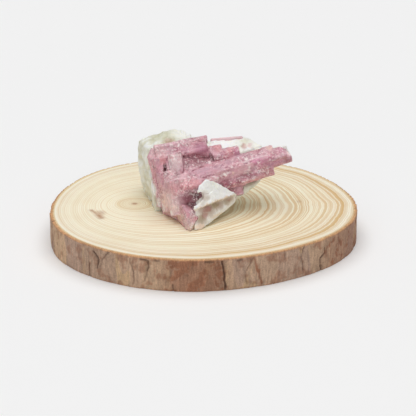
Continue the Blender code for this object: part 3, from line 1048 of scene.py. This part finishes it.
class TOURMALINE_OT_quartz(Operator):
    """Builds the quartz round and under the crystals"""

    bl_idname = "tourmaline.quartz"
    bl_label = "Quartz"

    # The height of the relief, in mm, that the material takes as 1
    usual_height = 0.4
    patches = {
        "stain": (
            ((12.8, 6.5, 27.8), (0.9, 3, 0.7), 0.55),
            ((14.8, 6.9, 27.6), (0.9, 3, 0.6), 0.45),
            ((-11.3, 5, 29.6), (1.7, 2, 0.9), 0.5),
        ),
        "green": (
            ((14.5, -6.6, 17.6), (6.5, 3.5, 3.6), 0.6),
            ((-18, 2, 19), (2, 4, 4), 0.2),
            ((-12, 9, 30.4), (8, 6, 1.6), 0.8),
            ((-11.3, 5, 29.6), (1.7, 2, 0.9), 0.7),
            ((-14.6, 6, 30), (1.8, 3, 1), 0.4),
        ),
        "white": (
            ((6, 6.8, 28.8), (6.6, 6, 2.2), 0.9),
            ((16, 6, 27.4), (4, 6, 1.6), 0.7),
            ((-6.6, 10, 30.8), (4, 6, 1.4), 0.7),
            ((-16.4, -4.1, 17), (1.6, 3.4, 3), 0.9),
            ((26.4, 4.8, 26.6), (2.8, 3, 2.6), 0.9),
        ),
    }

    def execute(self, context):
        settings = context.scene.tourmaline_stone
        bm = node_copy("quartz_matrix")
        swell(bm, SEAM)
        bm = remeshed(bm, settings.quartz_voxel)
        soften(bm, 4)
        heights = relieve(bm, rough_relief(0.45, 0.14, 0.07, 3))
        points = jittered(places(bm))
        material = quartz_material("quartz", settings.quartz, settings.quartz_green_and_shade, settings)
        piece = new_piece("quartz", bm, material, ["quartz_matrix"])
        write_attribute(piece.data, "height", heights / self.usual_height)
        mark_piece(piece, points, self.patches)
        return {"FINISHED"}


class TOURMALINE_OT_white_block(Operator):
    """Builds the bright white block at the front, and its grey foot, whose grey is partly painted shade"""

    bl_idname = "tourmaline.white_block"
    bl_label = "White block"

    usual_height = 0.3
    patches = {
        # The foot: painted shade on the block's lower face, with its own grey translucency
        "foot": (
            ((1, -19, 15), (3.6, 3.4, 2.4), 1),
            ((4.4, -16, 15.8), (2.8, 3, 2), 1),
            ((7.6, -12.6, 16.2), (2.6, 3, 1.8), 0.9),
            ((-1, -21.6, 12.8), (2.4, 3, 2), 0.9),
        ),
        # Painted shade on the block's side beside the hollow
        "wall_shade": (
            ((0.2, -17.6, 18.8), (1.5, 2, 1.9), 0.9),
            ((-0.6, -18.4, 17.4), (1.4, 2, 0.9), 0.6),
        ),
        "green": (
            ((3.4, -16.8, 15.6), (1.3, 2.6, 0.9), 1),
            ((7, -12.8, 15.6), (1.8, 2.6, 0.8), 0.6),
            ((-1, -20.4, 13), (1.2, 2.6, 1.6), 0.7),
        ),
        "stain": (
            ((1, -18.8, 15.2), (1.7, 2.6, 0.8), 0.6),
            ((0.2, -20, 13.6), (1, 2.4, 1), 0.5),
            ((7.8, -12.2, 16), (0.8, 2, 0.5), 0.4),
        ),
        "cream": (
            ((-1.4, -23, 10.8), (2.4, 3, 0.8), 0.8),
            ((4.2, -16.4, 12.6), (4, 4, 0.6), 0.5),
            ((-2.8, -21.2, 15.2), (0.9, 1.6, 0.8), 0.3),
        ),
    }
    # The ridge between the bright face and the foot
    ridge = ((-3.2, -21.4, 15.9), (2.2, -18.1, 17.1), (7.2, -13.5, 17.5), (9.9, -10.6, 17.2))
    ridge_strengths = (0.6, 0.6, 0.3)

    def execute(self, context):
        settings = context.scene.tourmaline_stone
        bm = node_copy("white_block")
        swell(bm, SEAM)
        bm = remeshed(bm, settings.voxel)
        soften(bm, 1)
        heights = relieve(bm, rough_relief(0.12, 0.16, 0.06, 11))
        points = jittered(places(bm))
        # The plain quartz colour is the block's painted shade in its hollows
        material = quartz_material("white_block", settings.white, settings.quartz, settings)
        piece = new_piece("white_front_block", bm, material, ["white_block"])
        write_attribute(piece.data, "height", heights / self.usual_height)
        across, _, level = zip(*self.ridge)
        below = np.clip((np.interp(points[:, 0], across, level) - points[:, 2]) / 0.4 + 0.3, 0, 1)
        lines = [(start, end, 0.35, strength) for start, end, strength
                 in zip(self.ridge, self.ridge[1:], self.ridge_strengths)]
        mark_piece(piece, points, self.patches, lines, below)
        return {"FINISHED"}


# Tourmaline


def tourmaline_material(name, axis, settings):
    """Streaked pink stone, with its pattern running along one crystal's axis."""
    material, tree, shader = new_material(name)
    spot = place_in_mm(tree)
    turn = Vector(axis).to_track_quat("Z", "Y").inverted().to_euler()
    along = place_in_mm(tree, turn=turn, scale=(1, 1, 0.12))
    blocks = place_in_mm(tree, turn=turn, scale=(1, 1, 0.45))
    height = attribute(tree, "height")
    rough = attribute(tree, "rough")
    streak = speckle(tree, along, 1.1, 4, 0.6)
    crumb = speckle(tree, spot, 1.5, 4, 0.65)
    cloud = speckle(tree, spot, 0.25, 3)
    number, slant = grains(tree, blocks, 1.4)
    speck, fine_slant = grains(tree, spot, 2.3)
    # Painted shade and highlight: by the relief's height, ridges are painted pale and grooves deep; where
    # the stone is rough the grain decides, elsewhere the streaks
    swing = rescaled(tree, rough, 0.1, 1, 0.5, 1.7)
    depth = plus(tree, times(tree, height, 0.5), times(tree, minus(tree, crumb, 0.5), swing))
    depth = plus(tree, depth, times(tree, minus(tree, streak, 0.5), 1.2))
    colour = blend_colours(tree, between(tree, depth, -0.8, -0.05), settings.deep, settings.pink)
    colour = blend_colours(tree, times(tree, between(tree, depth, 0.05, 0.8), 0.7), colour, settings.pale)
    for low, high, tint, most in ((0.5, 0.64, settings.salmon, 0.25), (0.5, 0.36, settings.mauve, 0.5)):
        colour = blend_colours(tree, times(tree, between(tree, cloud, low, high), most), colour, tint)
    # Each mark has the name of its colour
    for mark in ("mauve", "rose", "salmon", "bright", "brown", "red", "peach", "quartz", "dark"):
        mixed = times(tree, attribute(tree, mark), rescaled(tree, crumb, 0.35, 0.6, 0.7, 1))
        colour = blend_colours(tree, mixed, colour, getattr(settings, mark))
    tone = times(tree, minus(tree, number, 0.5), rescaled(tree, rough, 0.1, 1, 0.1, 0.36))
    colour = shaded(tree, colour, plus(tree, tone, 1))
    # Painted glints: pale flecks on random grains where the stone is rough
    painted_glint = times(tree, between(tree, speck, 0.55, 1), rescaled(tree, rough, 0.2, 1, 0.05, 0.62))
    colour = blend_colours(tree, painted_glint, colour, settings.pale)
    # Painted shade: dark flecks on random grains stand for shaded pits where the stone is rough
    pit_shade = times(tree, between(tree, speck, 0.4, 0), rescaled(tree, rough, 0.2, 1, 0.05, 0.42))
    colour = blend_colours(tree, pit_shade, colour, settings.deep)
    # Paints the pale marks: paler stone, painted highlights and painted glints
    colour = blend_colours(tree, attribute(tree, "pale"), colour, settings.pale)
    relief = plus(tree, slant, times(tree, fine_slant, 0.6))
    relief = times(tree, relief, rescaled(tree, rough, 0.1, 1, 0.3, 1))
    feed(tree, shader, {
        "Base Color": colour,
        "Roughness": rescaled(tree, crumb, 0.3, 0.7, 0.25, 0.5),
        "Normal": bump(tree, relief, 0.6, 0.35),
        "IOR": 1.63,
        "Subsurface Weight": 0.3,
        "Subsurface Radius": (0.0014, 0.0008, 0.0009),
    })
    return material


# Each crystal: node, axis, thin columns over it, their radius and greatest reach, seed
CRYSTALS = {
    "long_crystal": ("tourmaline_long", (34.1, 11.2, 7.5), 20, 0.7, 10, 1),
    "upper_left_crystal": ("tourmaline_upper_left", (15.4, 2.4, 2.2), 12, 0.6, 5, 2),
    "upright_stub": ("tourmaline_stub", (-1.3, 3.8, 7.5), 16, 0.45, 4, 3),
    "back_crystals": ("tourmaline_back", (8.2, 0.8, 1.4), 12, 0.5, 3, 4),
    "lower_crystals": ("tourmaline_lower", (18.3, 5.2, 4), 20, 0.5, 4, 5),
    "front_columns": ("tourmaline_cluster", (-1.4, 3.4, 13), 90, 0.8, 5, 6),
    "slab_sliver": ("tourmaline_sliver", (11.1, 2.7, 0.2), 1, 0.2, 3, 7),
}


class TOURMALINE_OT_crystals(Operator):
    """Builds the pink crystals, each streaked along its own axis"""

    bl_idname = "tourmaline.crystals"
    bl_label = "Tourmaline crystals"

    usual_height = 0.2

    def execute(self, context):
        settings = context.scene.tourmaline_stone
        for name, (node, axis, count, radius, length, seed) in CRYSTALS.items():
            bm = node_copy(node)
            swell(bm, SEAM)
            bm.normal_update()
            columns_over(bm, axis, count, radius, length, seed)
            bm = remeshed(bm, settings.voxel)
            soften(bm, 1)
            rough = roughness_of(places(bm), seed)
            heights = relieve(bm, crystal_relief(axis, seed), rough)
            points = places(bm)
            uneven = jittered(points)
            marks = {mark: spread(uneven, patches) for mark, patches in PATCHES.items()}
            marks["pale"] = np.maximum(marks["pale"], drawn(points, PALE_AND_HIGHLIGHT_LINES))
            material = tourmaline_material(f"tourmaline_{name}", axis, settings)
            piece = new_piece(name, bm, material, [node])
            heights /= self.usual_height
            for mark, values in {"height": heights, "rough": rough, **marks}.items():
                write_attribute(piece.data, mark, values)
        return {"FINISHED"}


# Stage


class TOURMALINE_OT_stage(Operator):
    """Sets up the pale floor, the soft light and the camera"""

    bl_idname = "tourmaline.stage"
    bl_label = "Stage"

    # The photograph is 416 pixels wide; the focal length is 1550 of them
    picture = 416
    focal = 1550
    # Where the middle of the slice's top lies in the photograph, in pixels from the left and the top
    middle = (204, 204.2)
    # The floor's size, and how far it stays under the slice, in metres
    floor_radius = 4
    floor_gap = 0.0001

    def execute(self, context):
        settings = context.scene.tourmaline_stage
        scene = context.scene
        self.floor(settings)
        self.light(scene, settings)
        self.camera(scene, settings)
        scene.view_settings.view_transform = "Standard"
        return {"FINISHED"}

    def floor(self, settings):
        bm = bmesh.new()
        bmesh.ops.create_circle(bm, cap_ends=True, segments=96, radius=self.floor_radius)
        mesh = bpy.data.meshes.new("floor")
        bm.to_mesh(mesh)
        bm.free()
        material, _, shader = new_material("floor")
        shader.inputs["Base Color"].default_value = (*settings.floor, 1)
        shader.inputs["Roughness"].default_value = 0.9
        shader.inputs["Specular IOR Level"].default_value = 0.1
        mesh.materials.append(material)
        made = bpy.data.objects.new("floor", mesh)
        bpy.context.scene.collection.objects.link(made)
        made.location.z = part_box("wood_slice")[0].z - self.floor_gap

    @staticmethod
    def light(scene, settings):
        world = bpy.data.worlds.new("studio")
        scene.world = world
        world.use_nodes = True
        background = world.node_tree.nodes["Background"]
        background.inputs["Color"].default_value = (1, 1, 1, 1)
        background.inputs["Strength"].default_value = settings.ambient
        for name, energy, towards in (("key", settings.key, settings.towards),
                                      ("fill", settings.fill, settings.fill_towards)):
            light = bpy.data.lights.new(name, "SUN")
            light.energy = energy
            light.angle = settings.softness
            made = bpy.data.objects.new(name, light)
            made.rotation_euler = Vector(towards).to_track_quat("Z", "Y").to_euler()
            scene.collection.objects.link(made)

    def camera(self, scene, settings):
        data = bpy.data.cameras.new("camera")
        data.sensor_width = 36
        data.lens = self.focal / self.picture * data.sensor_width
        data.shift_x = (self.picture / 2 - self.middle[0]) / self.picture
        data.shift_y = (self.middle[1] - self.picture / 2) / self.picture
        camera = bpy.data.objects.new("camera", data)
        top = Vector((0, 0, WOOD_TOP * MM))
        back = Vector((0, -math.cos(settings.tilt), math.sin(settings.tilt)))
        camera.location = top + back * settings.distance
        camera.rotation_euler = (math.pi / 2 - settings.tilt, 0, 0)
        scene.collection.objects.link(camera)
        scene.camera = camera


class TOURMALINE_PT_panel(Panel):
    """Lists the pieces of the stone and its slice"""

    bl_label = "Tourmaline"
    bl_idname = "TOURMALINE_PT_panel"
    bl_space_type = "VIEW_3D"
    bl_region_type = "UI"
    bl_category = "Stone"

    def draw(self, context):
        layout = self.layout
        for operator in OPERATORS:
            layout.operator(operator.bl_idname)
        for group in GROUPS:
            box = layout.box()
            box.label(text=group.__doc__)
            settings = getattr(context.scene, GROUPS[group])
            for name in group.__annotations__:
                box.prop(settings, name)


OPERATORS = (TOURMALINE_OT_wood, TOURMALINE_OT_bark, TOURMALINE_OT_quartz, TOURMALINE_OT_white_block,
             TOURMALINE_OT_crystals, TOURMALINE_OT_stage)
GROUPS = {
    SliceSettings: "tourmaline_slice",
    BarkSettings: "tourmaline_bark",
    StoneSettings: "tourmaline_stone",
    StageSettings: "tourmaline_stage",
}


def register():
    for group, name in GROUPS.items():
        bpy.utils.register_class(group)
        setattr(bpy.types.Scene, name, PointerProperty(type=group))
    for cls in (*OPERATORS, TOURMALINE_PT_panel):
        bpy.utils.register_class(cls)


def unregister():
    for cls in reversed((*OPERATORS, TOURMALINE_PT_panel)):
        bpy.utils.unregister_class(cls)
    for group, name in GROUPS.items():
        delattr(bpy.types.Scene, name)
        bpy.utils.unregister_class(group)


def main():
    register()
    bpy.ops.tourmaline.wood()
    bpy.ops.tourmaline.bark()
    bpy.ops.tourmaline.quartz()
    bpy.ops.tourmaline.white_block()
    bpy.ops.tourmaline.crystals()
    bpy.ops.tourmaline.stage()


if __name__ == "__main__":
    main()
